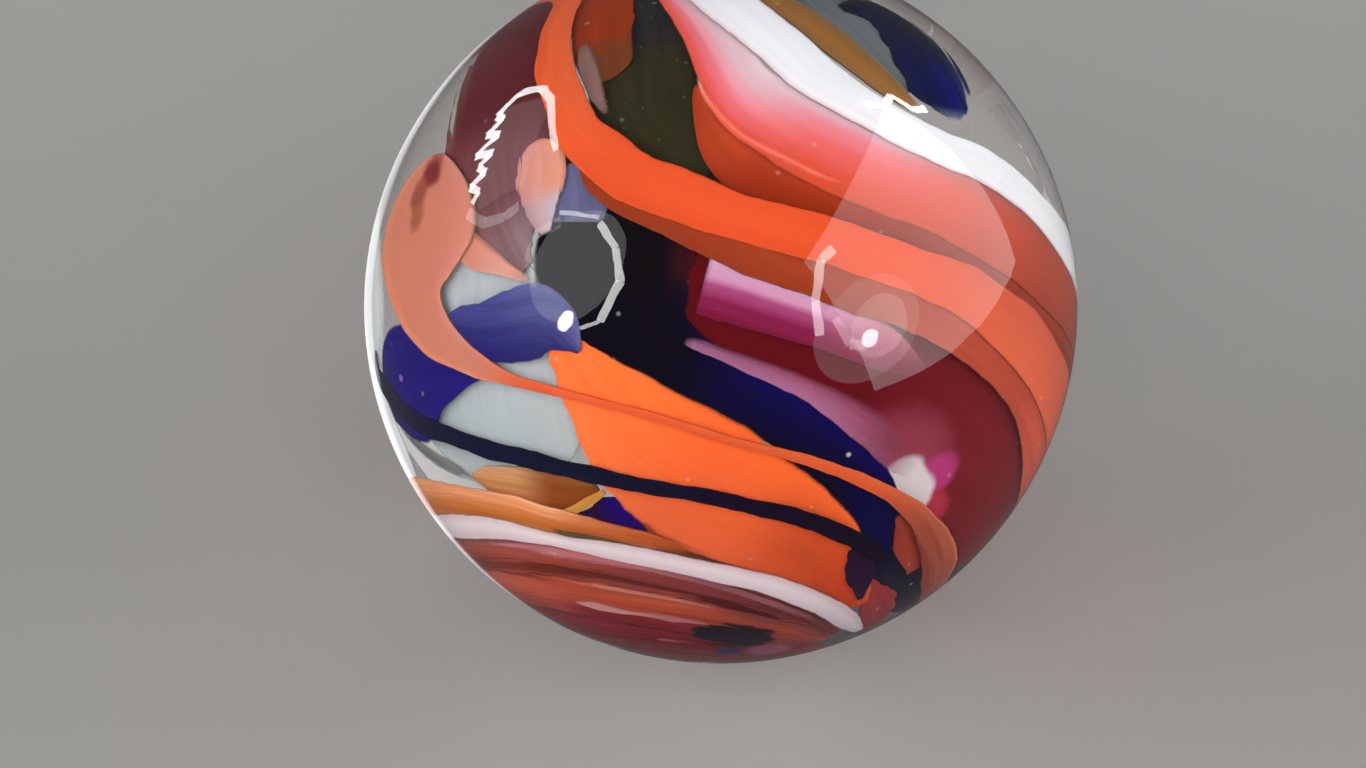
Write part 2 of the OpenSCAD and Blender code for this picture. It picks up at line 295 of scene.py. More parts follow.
def ribbon_glass(name, near, far=None, turn=(0, 1), more=(), streak=None, amount=0.25, fineness=6.0,
                 fade=SOFT_EDGE, last=99, alpha=1.0, waver=0.0, seeds=0.25, marks=(), flecks=None):
    """Coloured glass. Colours are (red, green, blue), 0 to 255.

    near and far are the colours across the ribbon before and after turn, which is given in stations,
    and more adds (turn, colours) after them. streak is the colour of the lines drawn along the ribbon
    and amount their strength. fade is how far it fades in from the left and right edges, as a share
    of the width, and from both ends, in stations, of which last is the last one. waver makes the
    colours' borders follow the lines. seeds is the strength of the pale specks."""
    material = bpy.data.materials.new(name)
    material.use_nodes = True
    tree = material.node_tree
    shader = tree.nodes["Principled BSDF"]
    _, along, across = uv_parts(tree, "stations")
    run, _, _ = uv_parts(tree, "run")

    lines = place_group(tree, STREAKS, Run=run, Fineness=fineness)
    wave = math_node(tree, "MULTIPLY", math_node(tree, "SUBTRACT", lines, 0.5), waver)
    shifted = math_node(tree, "ADD", across, wave)
    colour = across_colour(tree, shifted, near)
    for (start, end), colours in ([(turn, far)] if far is not None else []) + list(more):
        turned = map_range(tree, along, start, end)
        colour = mix_colours(tree, turned, colour, across_colour(tree, shifted, colours))
    if streak is not None:
        colour = mix_colours(tree, math_node(tree, "MULTIPLY", lines, amount), colour, srgb(*streak))
    if marks:
        colour = marked(tree, colour, marks)
    if flecks is not None:
        sparkle = place_group(tree, SEEDS, Spacing=3400.0, Size=0.2)
        colour = mix_colours(tree, sparkle, colour, srgb(*flecks))
    specks = place_group(tree, SEEDS)
    colour = mix_colours(tree, math_node(tree, "MULTIPLY", specks, seeds), colour, srgb(*SEED_COLOUR))
    tree.links.new(colour, shader.inputs["Base Color"])

    left, right, start, end = fade
    if any(fade):
        mask = place_group(tree, EDGES, Across=across, Along=along, Last=float(last), Left=left,
                           Right=right, Start=start, End=end, Waver=wave)
        tree.links.new(math_node(tree, "MULTIPLY", mask, alpha), shader.inputs["Alpha"])
    else:
        shader.inputs["Alpha"].default_value = alpha
    shader.inputs["Roughness"].default_value = 0.5
    shader.inputs["IOR"].default_value = GLASS_IOR
    shader.inputs["Specular IOR Level"].default_value = 0.0
    return material


# ---------------------------------------------------------------- ribbon shapes


def catmull_rom(a, b, c, d, t):
    return (2 * b + (c - a) * t + (2 * a - 5 * b + 4 * c - d) * t**2 + (3 * b - 3 * c + d - a) * t**3) / 2


class Course:
    """The smooth line of a ribbon through its stations [longitude, latitude, width]."""

    def __init__(self, stations):
        self.points = [spot(lon, lat) for lon, lat, _ in stations]
        self.widths = [math.radians(width) for _, _, width in stations]
        self.last = len(stations) - 1

    def at(self, place):
        """Direction and width at a place along the line, counted in stations."""
        i = min(int(place), self.last - 1)
        t = place - i
        picks = [max(i - 1, 0), i, i + 1, min(i + 2, self.last)]
        here = catmull_rom(*(self.points[p] for p in picks), t).normalized()
        width = catmull_rom(*(self.widths[p] for p in picks), t)
        return here, max(width, 0.0)

    def edge(self, place, side, shift=0.0):
        """The direction of a point across the line: side runs from 1, the left edge, to -1, the right.
        shift, in radians, moves that edge out."""
        here, width = self.at(place)
        nudge = 0.02
        ahead = self.at(min(place + nudge, self.last))[0] - self.at(max(place - nudge, 0))[0]
        across = here.cross(ahead).normalized()
        return (here + side * across * math.tan(max(width / 2 + shift, 0))).normalized()

    def places(self, step):
        """Places along the line about step radians apart, and their distance from its start."""
        found = [(0.0, 0.0)]
        distance = 0.0
        for i in range(self.last):
            span = self.points[i].angle(self.points[i + 1])
            pieces = max(1, round(span / step))
            for k in range(1, pieces + 1):
                found.append((i + k / pieces, distance + span * k / pieces))
            distance += span
        return found


def raggedness(name, distance, side, amount):
    """How far an edge wanders from its line, in radians: amount is in degrees for (left, right)."""
    long_wave, short_wave = 5, 1.6  # in degrees
    key = sum(ord(letter) for letter in name) % 97 + (0.5 if side > 0 else 0)
    turns = math.degrees(distance)
    wander = noise.noise((turns / long_wave, key, 0)) + noise.noise((turns / short_wave, key, 5)) * 0.5
    return math.radians(amount[0] if side > 0 else amount[1]) * wander


def ribbon(name, stations, layer, material, node=None, ragged=(0.3, 0.3), columns=12, depth=0.0):
    """A thin curved strip of glass at its layer's depth under the surface, with its edges drawn smooth.

    It stands for node if one is given. ragged is how far its left and right edges wander, in degrees."""
    course = Course(stations)
    places = course.places(ROW_STEP)
    top = BALL_R - COVER - layer * LAYER_STEP - depth
    mesh = bmesh.new()
    station_uv = mesh.loops.layers.uv.new("stations")
    run_uv = mesh.loops.layers.uv.new("run")
    bmesh.ops.create_grid(mesh, x_segments=len(places) - 1, y_segments=columns, size=0.5)
    grid = {}
    for vert in mesh.verts:
        step = round((vert.co.x + 0.5) * (len(places) - 1))
        side = vert.co.y * 2
        place, distance = places[step]
        width = course.at(place)[1]
        shift = raggedness(name, distance, side, ragged) * min(1.0, width / NARROW)
        vert.co = TILT @ course.edge(place, side, shift) * top
        grid[vert] = (place, distance, side, width)
    for face in mesh.faces:
        face.smooth = True
        for loop in face.loops:
            place, distance, side, width = grid[loop.vert]
            loop[station_uv].uv = (place, (1 - side) / 2)
            loop[run_uv].uv = (math.degrees(distance) / RUN_UNIT,
                               -side * math.degrees(width) / (2 * RUN_UNIT))
    mesh.normal_update()
    outward = sum(face.normal.dot(face.calc_center_median()) for face in mesh.faces)
    if outward < 0:
        bmesh.ops.reverse_faces(mesh, faces=mesh.faces)
    data = bpy.data.meshes.new(name)
    mesh.to_mesh(data)
    mesh.free()
    piece = bpy.data.objects.new(name, data)
    bpy.context.scene.collection.objects.link(piece)
    wall = piece.modifiers.new("wall", "SOLIDIFY")
    wall.thickness = RIBBON_T
    wall.offset = -1
    data.materials.append(material)
    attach(piece, "root")
    if node:
        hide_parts(node)


# ---------------------------------------------------------------- the ribbons, layer by layer

# Layer 0, the outermost

ORANGE = [
    (-146, -8, 3), (-142, 4, 7), (-138, 18, 9), (-130, 33, 10), (-116, 46, 10), (-98, 57, 9),
    (-76, 62, 8), (-58, 60, 6), (-46, 50, 6), (-38, 41, 7), (-32, 35, 7), (-27, 29, 8), (-21, 25, 9),
    (-15, 21, 9), (-7, 18, 9), (1, 15, 8), (8, 13, 8), (16, 11, 8), (26, 8, 8), (35, 5, 8), (42, 3, 9),
    (50, -1, 10), (60, -6, 11), (69, -11, 11), (80, -16, 12), (100, -23, 12), (125, -30, 11),
    (150, -37, 10), (170, -43, 8), (-165, -50, 5), (-148, -54, 1),
]
ribbon("orange_band", ORANGE, 0, ribbon_glass(
    "orange_glass", [(0, (222, 104, 62)), (0.5, (230, 104, 58)), (1, (224, 92, 46))],
    far=[(0, (222, 86, 44)), (0.5, (226, 90, 46)), (1, (220, 84, 42))], turn=(9, 13),
    more=[((18, 22), [(0, (200, 100, 76)), (1, (214, 106, 76))])],
    streak=(206, 78, 36), amount=0.25), "orange_ribbon")

WHITE = [
    (-176, 24, 1), (-172, 32, 3), (-165, 43, 6), (-154, 56, 8), (-136, 68, 9), (-112, 78, 9),
    (-60, 80, 9), (-14, 69, 9), (1, 59, 10), (10, 51, 10), (15, 46, 10), (19, 41, 10), (24, 37, 9),
    (30, 33, 8), (37, 29, 7.5), (44, 26, 7), (51, 24, 7.5), (58, 21, 7.5), (64, 18, 7.5), (71, 14, 8),
    (79, 10, 9), (90, 5, 10), (107, -4, 11), (128, -13, 10), (152, -22, 9), (177, -28, 8), (-155, -33, 8),
    (-125, -37, 7), (-100, -38, 6), (-79, -38, 5), (-61, -38, 5), (-49, -38.7, 4.3), (-39, -40.3, 3.2),
    (-32, -41.7, 3), (-24, -43, 4), (-12, -45.3, 4.3), (0, -48, 4.5), (12, -50.7, 4.5), (24, -54.5, 4.5),
    (36, -58, 4.5), (50, -62, 4), (66, -65, 1.5),
]
ribbon("white_spiral", WHITE, 0, ribbon_glass(
    "white_glass", [(0, (236, 239, 242)), (0.86, (236, 239, 242)), (1, (210, 190, 194))],
    far=[(0, (208, 180, 186)), (0.4, (228, 214, 218)), (1, (212, 188, 194))],
    turn=(26, 30), streak=(222, 220, 226), amount=0.4), "white_ribbon")

SALMON = [
    (-60.8, 25.3, 3), (-60.6, 23.3, 12), (-60.4, 20.3, 21), (-60.1, 17, 26), (-59.7, 13.5, 29),
    (-59.2, 10, 29.5), (-58.8, 6.8, 25.5), (-58.2, 3.6, 20), (-57.2, 0.6, 15), (-55.4, -2, 11.5),
    (-52.7, -4.4, 9), (-49.5, -6.4, 7), (-46, -8.2, 5.3), (-41.5, -10.1, 3.6), (-36.5, -11.6, 2.3),
    (-30, -13.2, 1.6), (-22, -15, 1.3), (-11, -17.8, 1.3), (2, -21.8, 1.4), (11, -24, 1.6),
    (19, -26.3, 2), (27, -29, 2.3), (34, -31.6, 2.8), (41, -34.8, 3.8), (48, -38.6, 5.2), (56, -43, 7),
    (65, -47.5, 7.5), (75, -51.5, 6.5), (90, -55, 5.5), (110, -57, 4), (130, -53, 1),
]
ribbon("salmon_crescent", SALMON, 0, ribbon_glass(
    "salmon_glass",
    [(0, (208, 140, 124)), (0.3, (196, 126, 106)), (0.8, (200, 128, 104)), (0.93, (222, 138, 104)),
     (1, (212, 146, 124))],
    far=[(0, (224, 94, 40)), (1, (214, 86, 42))], turn=(12, 15),
    more=[((21, 24), [(0, (196, 112, 82)), (0.15, (168, 84, 58)), (0.5, (150, 66, 46)),
                      (1, (132, 52, 42))])],
    streak=(206, 116, 92), amount=0.3,
    marks=[(-59, 25, 2.6, 2.4, (122, 44, 44)), (-61.5, 21, 2.2, 3, (150, 78, 62)),
           (-60.5, 17.5, 1.6, 2.5, (160, 92, 68))]), "salmon_ribbon")

THREAD = [
    (-77, -7, 1), (-77.5, -11, 4), (-73, -14, 4.5), (-68, -17, 4), (-62, -19.3, 3.7), (-53, -21.3, 3.5),
    (-46, -23.2, 3.5), (-37, -25, 3.3), (-28, -27, 3), (-20, -28.7, 2.9), (-12, -30.2, 2.8),
    (-3, -31.7, 2.8), (6, -33.7, 3), (17, -36.3, 3), (28, -40, 3.4), (36, -43, 3.2), (41, -45.5, 1.5),
]
ribbon("navy_line", THREAD, 0, ribbon_glass(
    "navy_glass", (34, 34, 62), far=(18, 20, 48), turn=(2, 6), more=[((9, 12), (20, 6, 34))],
    streak=(10, 6, 18), amount=0.4), "navy_thread")

# Layer 1

AMBER = [
    (-25, 23, 1), (-22, 20, 3), (-17, 17, 4), (-9, 14, 5), (-4, 12, 6), (6, 8, 7), (15, 5, 7), (23, 2, 7),
    (31, 0, 7), (41, -4, 7), (52, -10, 6), (60, -14, 7), (67, -18, 9), (78, -24, 12), (95, -32, 12),
    (115, -40, 8), (130, -46, 1),
]
ribbon("amber_strip", AMBER, 1, ribbon_glass(
    "amber_glass", [(0, (168, 70, 36)), (1, (150, 58, 30))],
    far=(182, 80, 60), turn=(7, 9), more=[((11, 12.5), (206, 92, 68))],
    streak=(136, 50, 26), amount=0.35), "amber_ribbon")

PINK = [
    (-162, 32, 1), (-156, 40, 3), (-146, 51, 5), (-130, 62, 6), (-110, 72, 6), (-72, 76, 6), (-32, 68, 5),
    (-14, 60, 6), (-3, 50, 9), (3, 40, 12), (7, 35, 15), (13, 31, 16), (20, 27, 17), (31, 22, 16),
    (39, 19, 15), (48, 15, 15), (60, 10, 15), (70, 5, 14), (90, -3, 13), (115, -14, 12), (140, -24, 10),
    (165, -31, 8), (-170, -38, 2),
]
ribbon("pink_band", PINK, 1, ribbon_glass(
    "pink_glass",
    [(0, (222, 210, 216)), (0.37, (216, 190, 200)), (0.55, (230, 162, 176)), (0.74, (228, 116, 128)),
     (0.9, (226, 92, 84)), (1, (214, 82, 56))],
    far=[(0, (200, 190, 198)), (0.18, (212, 176, 188)), (0.34, (226, 132, 144)), (0.55, (224, 104, 102)),
         (0.8, (214, 86, 62)), (1, (200, 78, 48))], turn=(9, 12),
    more=[((12, 15), [(0, (170, 110, 106)), (0.15, (190, 110, 104)), (0.4, (214, 96, 76)),
                      (1, (196, 84, 60))]),
          ((14, 17), [(0, (160, 80, 68)), (0.5, (164, 76, 58)), (1, (150, 68, 52))])],
    streak=(226, 92, 74), amount=0.15, fineness=9), "pink_ribbon")

OCHRE = [
    (168, 34, 2), (172, 46, 6), (180, 60, 8), (-170, 74, 8), (-130, 86, 8), (-10, 82, 7), (10, 70, 7),
    (17, 60, 6.5), (23, 55, 7), (28, 49, 7.5), (32, 44, 7), (35.5, 40, 6.2), (39, 36, 4.2),
    (42.5, 32.8, 1),
]
ribbon("ochre_strip", OCHRE, 1, ribbon_glass(
    "ochre_glass", [(0, (128, 104, 72)), (0.5, (158, 106, 50)), (1, (150, 108, 66))],
    streak=(120, 84, 44), amount=0.4, fade=(0.2, 0, 0, 1), last=13), "ochre_ribbon")

LEAF = [
    (-50.5, -1.8, 1), (-48, -2.8, 6), (-42, -3.7, 9.5), (-36, -3.2, 12), (-31, -2.4, 12.3),
    (-27.5, -3.2, 9.5), (-25, -5.3, 5.5), (-23.5, -7.2, 1),
]
ribbon("cobalt_leaf_piece", LEAF, 1, ribbon_glass(
    "leaf_glass", [(0, (72, 74, 138)), (1, (40, 34, 108))],
    far=[(0, (104, 108, 160)), (1, (48, 46, 108))], turn=(2, 4.5),
    streak=(32, 26, 94), amount=0.5), "cobalt_leaf", ragged=(0.5, 0.6))

COMMA = [
    (-42.5, -11, 1), (-47, -11, 4), (-51.5, -11, 8.5), (-56.5, -11, 14), (-61.5, -11.8, 19),
    (-66.5, -13.3, 20), (-71, -15, 14.5), (-75, -16.5, 5),
]
ribbon("cobalt_comma_piece", COMMA, 1, ribbon_glass(
    "comma_glass", (36, 24, 116), far=(42, 40, 78), turn=(5, 7),
    streak=(22, 14, 88), amount=0.5, marks=[(-65, -9, 0.7, 0.6, (130, 90, 190))]), "cobalt_comma")

HONEY = [
    (-150, 10, 1), (-148, -2, 6), (-138, -14, 9), (-118, -25, 9), (-95, -32, 8), (-76, -32.5, 8),
    (-61, -33, 6.5), (-52, -34, 6.5), (-44, -35, 6.3), (-37, -36.7, 6), (-30, -38, 5), (-18, -40.5, 3.7),
    (-9, -42.5, 2.5), (-2, -44.5, 1.5),
]
ribbon("honey_band", HONEY, 1, ribbon_glass(
    "honey_glass", [(0, (250, 182, 136)), (0.3, (244, 162, 108)), (0.6, (202, 116, 52)),
                    (1, (180, 120, 60))],
    far=[(0, (206, 100, 52)), (1, (174, 86, 42))], turn=(9, 11),
    streak=(150, 72, 30), amount=0.5, fineness=10, fade=(0.04, 0.04, 0, 3), last=13), "honey_ribbon")

INK = [(-12, -64.5, 1), (-6, -66, 7), (4, -67.5, 11), (15, -68.5, 10), (26, -69.5, 2)]
ribbon("ink_patch", INK, 1, ribbon_glass(
    "ink_glass", (30, 16, 26), streak=(22, 14, 44), amount=0.6,
    fade=(0.25, 0.25, 0.6, 0.6), last=4, waver=0.6), "ink_streak", ragged=(1.0, 1.0))

PEACH = [
    (-34.8, 28, 1.5), (-34.2, 26, 8), (-33, 22.7, 9), (-32.3, 19, 8.3), (-31.7, 16.8, 6.5),
    (-31, 14.5, 5), (-30, 12, 2),
]
ribbon("peach_patch", PEACH, 1, ribbon_glass(
    "peach_glass", [(0, (216, 148, 120)), (0.5, (212, 138, 118)), (1, (196, 128, 120))],
    far=[(0, (186, 176, 194)), (0.5, (186, 164, 172)), (1, (160, 132, 144))], turn=(2.6, 4.4),
    streak=(214, 166, 156), amount=0.4, waver=0.2), "peach_chip", ragged=(0.3, 0.9))

# Layer 2

AZURE = [(-27.5, 23.8, 2), (-26, 21, 6.5), (-25, 18, 10), (-24.8, 15.7, 10.5), (-24.8, 13.8, 9)]
ribbon("azure_patch", AZURE, 2, ribbon_glass(
    "azure_glass", (88, 92, 132), far=(96, 96, 122), turn=(2, 4), streak=(116, 118, 146), amount=0.4),
    "azure_chip", ragged=(0.5, 0.5))

GARNET = [
    (-146, 18, 2), (-140, 30, 6), (-130, 43, 8), (-114, 56, 8), (-92, 67, 8), (-62, 69, 9), (-43, 61, 11),
    (-33, 52, 11), (-28.5, 46, 10.5), (-26, 41.5, 8), (-25, 39.5, 3),
]
ribbon("garnet_strip", GARNET, 2, ribbon_glass(
    "garnet_glass", (160, 56, 16), far=(122, 66, 34), turn=(7, 8.3),
    streak=(92, 36, 16), amount=0.4), "garnet_ribbon", ragged=(0.8, 0.3))

PLUME = [
    (38, 57, 2), (44, 57, 6), (49.5, 56, 9.5), (53.5, 52.5, 12.5), (54.5, 47.5, 15.5), (53, 42.5, 17.5),
    (51.5, 38, 14.5), (51, 34.5, 9.5), (50.5, 31.5, 3),
]
ribbon("cobalt_plume_piece", PLUME, 2, ribbon_glass(
    "plume_glass", [(0, (40, 44, 48)), (0.25, (22, 24, 40)), (0.6, (18, 20, 56)), (1, (26, 28, 66))],
    far=[(0, (36, 44, 96)), (0.3, (8, 10, 104)), (0.7, (10, 14, 80)), (1, (26, 32, 70))], turn=(3.5, 6),
    more=[((7, 8), (120, 134, 156))],
    streak=(10, 10, 36), amount=0.5, fade=(0.08, 0, 0.5, 0.6), last=8, waver=0.2), "cobalt_plume",
    ragged=(0.4, 1.2))

MAROON = [
    (-104, -28, 2), (-112, -18, 9), (-115, -3, 14), (-113, 14, 17), (-106, 32, 18), (-93, 46, 17),
    (-77, 53, 15), (-65, 50.5, 20), (-56, 43, 23), (-50.5, 37, 24), (-47, 31.5, 26), (-45.5, 27, 27),
    (-44.5, 23, 25), (-42.5, 19, 21.5), (-40.5, 15, 18.5), (-38.5, 11.5, 15), (-36.5, 8.8, 10.5),
    (-33.5, 6, 4),
]
ribbon("maroon_sheet", MAROON, 2, ribbon_glass(
    "maroon_glass", [(0, (92, 32, 38)), (0.8, (94, 34, 40)), (1, (120, 78, 78))],
    far=[(0, (118, 74, 82)), (0.6, (116, 72, 78)), (0.8, (124, 66, 70)), (1, (150, 92, 90))],
    turn=(9, 12),
    more=[((13, 15.5), [(0, (142, 118, 122)), (0.7, (136, 106, 110)), (0.9, (146, 108, 108)),
                        (1, (196, 134, 120))])],
    streak=(78, 30, 38), amount=0.3, fade=(0, 0.03, 1, 0), last=17, waver=0.15), "maroon_ribbon")

TANGERINE = [
    (-26.5, -3.5, 1), (-26, -6.5, 6), (-24, -10, 10), (-21, -14, 14), (-18, -17.5, 18),
    (-14.5, -21.5, 21.5), (-9.5, -26, 24.5), (-3, -30.5, 25.5), (5, -35.5, 24), (13, -39.5, 21.5),
    (21, -43.5, 17.5), (28.5, -48, 13), (36.5, -53, 9), (45, -57.5, 4),
]
ribbon("tangerine_leaf", TANGERINE, 2, ribbon_glass(
    "tangerine_glass", [(0, (255, 122, 56)), (1, (255, 124, 64))],
    far=[(0, (252, 112, 48)), (0.5, (240, 106, 54)), (1, (226, 104, 62))], turn=(4, 7),
    more=[((7.5, 10), [(0, (250, 108, 46)), (0.3, (214, 80, 36)), (0.6, (190, 74, 36)),
                       (1, (206, 88, 46))]),
          ((10, 11.5), [(0, (214, 90, 44)), (0.5, (206, 66, 28)), (1, (186, 70, 44))])],
    streak=(226, 88, 44), amount=0.3), "tangerine_sheet", ragged=(0.4, 1.1))

RUSSET = [
    (-5, 38.5, 0.6), (-4.6, 36.3, 1.8), (-3.2, 33, 3.8), (-1.6, 29.5, 5.8), (0.8, 26, 7.8),
    (4.6, 22.3, 9.4), (10, 18.8, 9), (18, 16.2, 6.6), (26, 14, 5.2), (34, 11.6, 5), (43, 8.5, 5),
    (55, 3.5, 6), (68, -1.5, 9), (88, -8, 10), (110, -18, 9), (135, -28, 1),
]
ribbon("russet_strip", RUSSET, 2, ribbon_glass(
    # The colours darken towards the right edge, along the orange band's upper edge: that dark line is
    # painted shade.
    "russet_glass_shaded_edge", [(0, (196, 78, 48)), (0.6, (182, 70, 36)), (1, (166, 58, 26))],
    far=[(0, (180, 66, 34)), (0.45, (150, 48, 16)), (1, (126, 32, 10))], turn=(3.5, 6),
    more=[((8, 10), [(0, (168, 78, 58)), (1, (142, 62, 44))])],
    streak=(140, 44, 20), amount=0.35), "russet_ribbon")

MAGENTA = [
    (-3, 4, 11), (3, 2.3, 11), (9, 0.3, 10.5), (16, -2, 9.5), (22, -4.5, 8.5), (29, -7.5, 7),
    (36, -11, 2),
]
ribbon("magenta_panel", MAGENTA, 2, ribbon_glass(
    "magenta_glass", [(0, (232, 200, 222)), (0.36, (212, 156, 190)), (0.52, (164, 72, 118)),
                      (0.74, (124, 22, 60)), (1, (112, 12, 38))],
    far=[(0, (186, 100, 116)), (0.5, (150, 50, 84)), (1, (116, 24, 44))], turn=(2.5, 5),
    streak=(160, 56, 116), amount=0.25, fade=(0.03, 0.06, 0.25, 2), last=6), "magenta_ribbon")

MAUVE = [
    (-6, -5.3, 1.5), (-3, -6.2, 2.3), (4, -9, 3), (13, -12.5, 4), (20, -16, 5.5), (28, -20.5, 7),
    (34, -24.5, 7), (39, -27.5, 4),
]
ribbon("mauve_strip", MAUVE, 2, ribbon_glass(
    "mauve_glass", [(0, (102, 60, 88)), (1, (150, 94, 128))],
    far=[(0, (140, 60, 84)), (1, (168, 104, 138))], turn=(1, 3),
    more=[((3.5, 5.5), [(0, (132, 48, 66)), (1, (142, 68, 92))])],
    streak=(168, 108, 142), amount=0.3, fade=(0.55, 0.05, 1, 3), last=7), "mauve_ribbon")

BRICK = [
    (-100, -48.5, 2), (-79, -51, 9.5), (-60, -53, 11), (-42, -56, 12), (-18, -60, 12), (6, -64, 11),
    (32, -67.5, 9), (56, -69.5, 2),
]
ribbon("brick_streaks", BRICK, 2, ribbon_glass(
    "brick_glass",
    [(0, (124, 50, 36)), (0.14, (158, 66, 46)), (0.24, (204, 94, 68)), (0.6, (200, 90, 64)),
     (0.75, (174, 72, 60)), (1, (160, 60, 56))],
    far=[(0, (158, 74, 58)), (0.1, (196, 88, 62)), (0.42, (188, 80, 54)), (0.52, (158, 60, 52)),
         (0.68, (136, 32, 46)), (1, (124, 18, 34))], turn=(2.2, 3),
    more=[((4, 5.2), [(0, (136, 62, 58)), (0.2, (140, 64, 54)), (0.3, (178, 78, 54)),
                      (0.45, (164, 70, 50)), (0.6, (138, 58, 52)), (1, (138, 56, 64))])],
    streak=(134, 46, 42), amount=0.3, fineness=7, waver=0.3), "brick_ribbon", ragged=(0.6, 0.6))

WHITE_TAIL = [
    (-88, -1, 1), (-86.5, -6, 5), (-84.5, -12, 10), (-83, -17.5, 14), (-82.5, -23, 15),
    (-83.5, -28.5, 12), (-85.5, -34, 7), (-87, -38, 2),
]
ribbon("white_tail_piece", WHITE_TAIL, 2, ribbon_glass(
    "tail_glass", (240, 243, 246), streak=(222, 228, 232), amount=0.4), "white_tail")

# Layer 3

AVENTURINE = [
    (-156, 20, 2), (-151, 30, 6), (-143, 42, 9), (-130, 54, 10), (-112, 66, 9), (-82, 73, 8),
    (-46, 69, 8), (-29, 61, 9), (-22, 53, 13), (-18.5, 46, 18), (-16.5, 39, 19), (-14, 33, 18),
    (-8, 27, 13), (-2, 22, 5),
]
ribbon("aventurine_patch", AVENTURINE, 3, ribbon_glass(
    "aventurine_glass", (28, 28, 44), far=(40, 40, 26), turn=(8, 9.5),
    streak=(64, 58, 32), amount=0.4, flecks=(128, 104, 52)), "aventurine_ribbon")

OPAL = [
    (152, 36, 3), (158, 48, 10), (160, 62, 13), (140, 76, 14), (75, 80, 13), (40, 70, 13), (33, 62, 13),
    (35, 57, 14), (38.5, 51, 14), (40.5, 46, 12), (42, 41.5, 9), (43, 37.5, 4),
]
ribbon("opal_veil", OPAL, 3, ribbon_glass(
    "opal_glass", (98, 104, 108), streak=(128, 138, 140), amount=0.5,
    fade=(0.15, 0.1, 1, 0), last=11, alpha=0.9), "opal_ribbon")

BLACK = [
    (-18, 19, 12), (-18, 16, 24), (-18, 12, 28), (-18, 7, 28.5), (-17, 2, 27), (-14.5, -2.5, 22.5),
    (-11.5, -6.5, 17), (-6.5, -10, 13.5), (0, -13.3, 10.8), (8, -17.3, 9.7), (16, -21.5, 10),
    (24, -26.7, 9.7), (30.5, -33, 9.7), (37, -40.5, 9.5), (48, -48.5, 9.5), (70, -54, 10.5),
    (92, -50, 11), (110, -38, 11), (122, -22, 10), (130, -4, 9), (134, 14, 8), (134, 30, 6), (130, 44, 1),
]
ribbon("black_band", BLACK, 3, ribbon_glass(
    "black_glass", [(0, (84, 24, 18)), (0.1, (56, 14, 12)), (0.22, (12, 4, 6)), (1, (6, 4, 8))],
    far=[(0, (14, 4, 30)), (0.3, (10, 3, 16)), (1, (8, 4, 22))], turn=(3.5, 5.5),
    more=[((6.5, 9), [(0, (14, 5, 88)), (0.5, (10, 4, 62)), (1, (10, 4, 36))]),
          ((11, 13), (6, 2, 66)), ((13.2, 14.2), (30, 24, 44))],
    streak=(8, 4, 30), amount=0.4, seeds=0.8), "black_ribbon")

TOFFEE = [
    (-53, -28.5, 1), (-48.5, -29.3, 5), (-43, -30, 6.5), (-37, -31, 8), (-31, -31.7, 7.5),
    (-26.5, -31.5, 4), (-24, -30.5, 1.5),
]
ribbon("toffee_lens", TOFFEE, 3, ribbon_glass(
    "toffee_glass", [(0, (212, 164, 120)), (0.5, (208, 148, 96)), (1, (188, 120, 66))],
    far=[(0, (158, 100, 58)), (0.4, (132, 66, 24)), (1, (118, 50, 14))], turn=(2, 3.6),
    streak=(150, 78, 32), amount=0.5, fineness=12), "toffee_streak")

INDIGO = [(-31, -36.5, 1), (-26, -36, 3), (-22, -35.5, 6), (-18.5, -38, 3), (-16, -40, 1)]
ribbon("indigo_spot", INDIGO, 3, ribbon_glass(
    "indigo_glass", (44, 10, 40), far=(34, 2, 104), turn=(1, 2), streak=(24, 4, 80), amount=0.4),
    "indigo_chip")

PLUM = [
    (-160, -42, 2), (-135, -44, 8), (-110, -45, 9), (-86, -44, 9), (-57, -45, 9), (-32, -48, 8.5),
    (-10, -52.5, 8.5), (13, -57.5, 8), (35, -63, 7), (55, -67, 2),
]
ribbon("plum_streaks", PLUM, 3, ribbon_glass(
    "plum_glass",
    [(0, (188, 112, 112)), (0.2, (176, 88, 74)), (0.45, (162, 72, 56)), (0.62, (118, 44, 30)),
     (0.74, (118, 44, 30)), (0.86, (154, 70, 56)), (1, (166, 80, 62))],
    far=[(0, (160, 94, 98)), (0.25, (142, 66, 68)), (0.5, (130, 56, 58)), (0.58, (100, 36, 36)),
         (0.68, (138, 64, 62)), (0.85, (154, 76, 70)), (1, (158, 74, 62))],
    turn=(4.5, 6), streak=(120, 48, 44), amount=0.3, fineness=8, waver=0.2), "plum_ribbon")

OPAL_RIM = [(-85, 17, 1), (-84, 12, 9), (-82, 5, 17), (-81, -2, 20), (-83, -8, 13), (-85, -13, 3)]
ribbon("opal_rim_piece", OPAL_RIM, 3, ribbon_glass(
    "rim_glass", (216, 220, 220), streak=(190, 198, 200), amount=0.5,
    fade=(0.2, 0.1, 1, 1), last=5), "opal_rim")

# Layer 4, the innermost

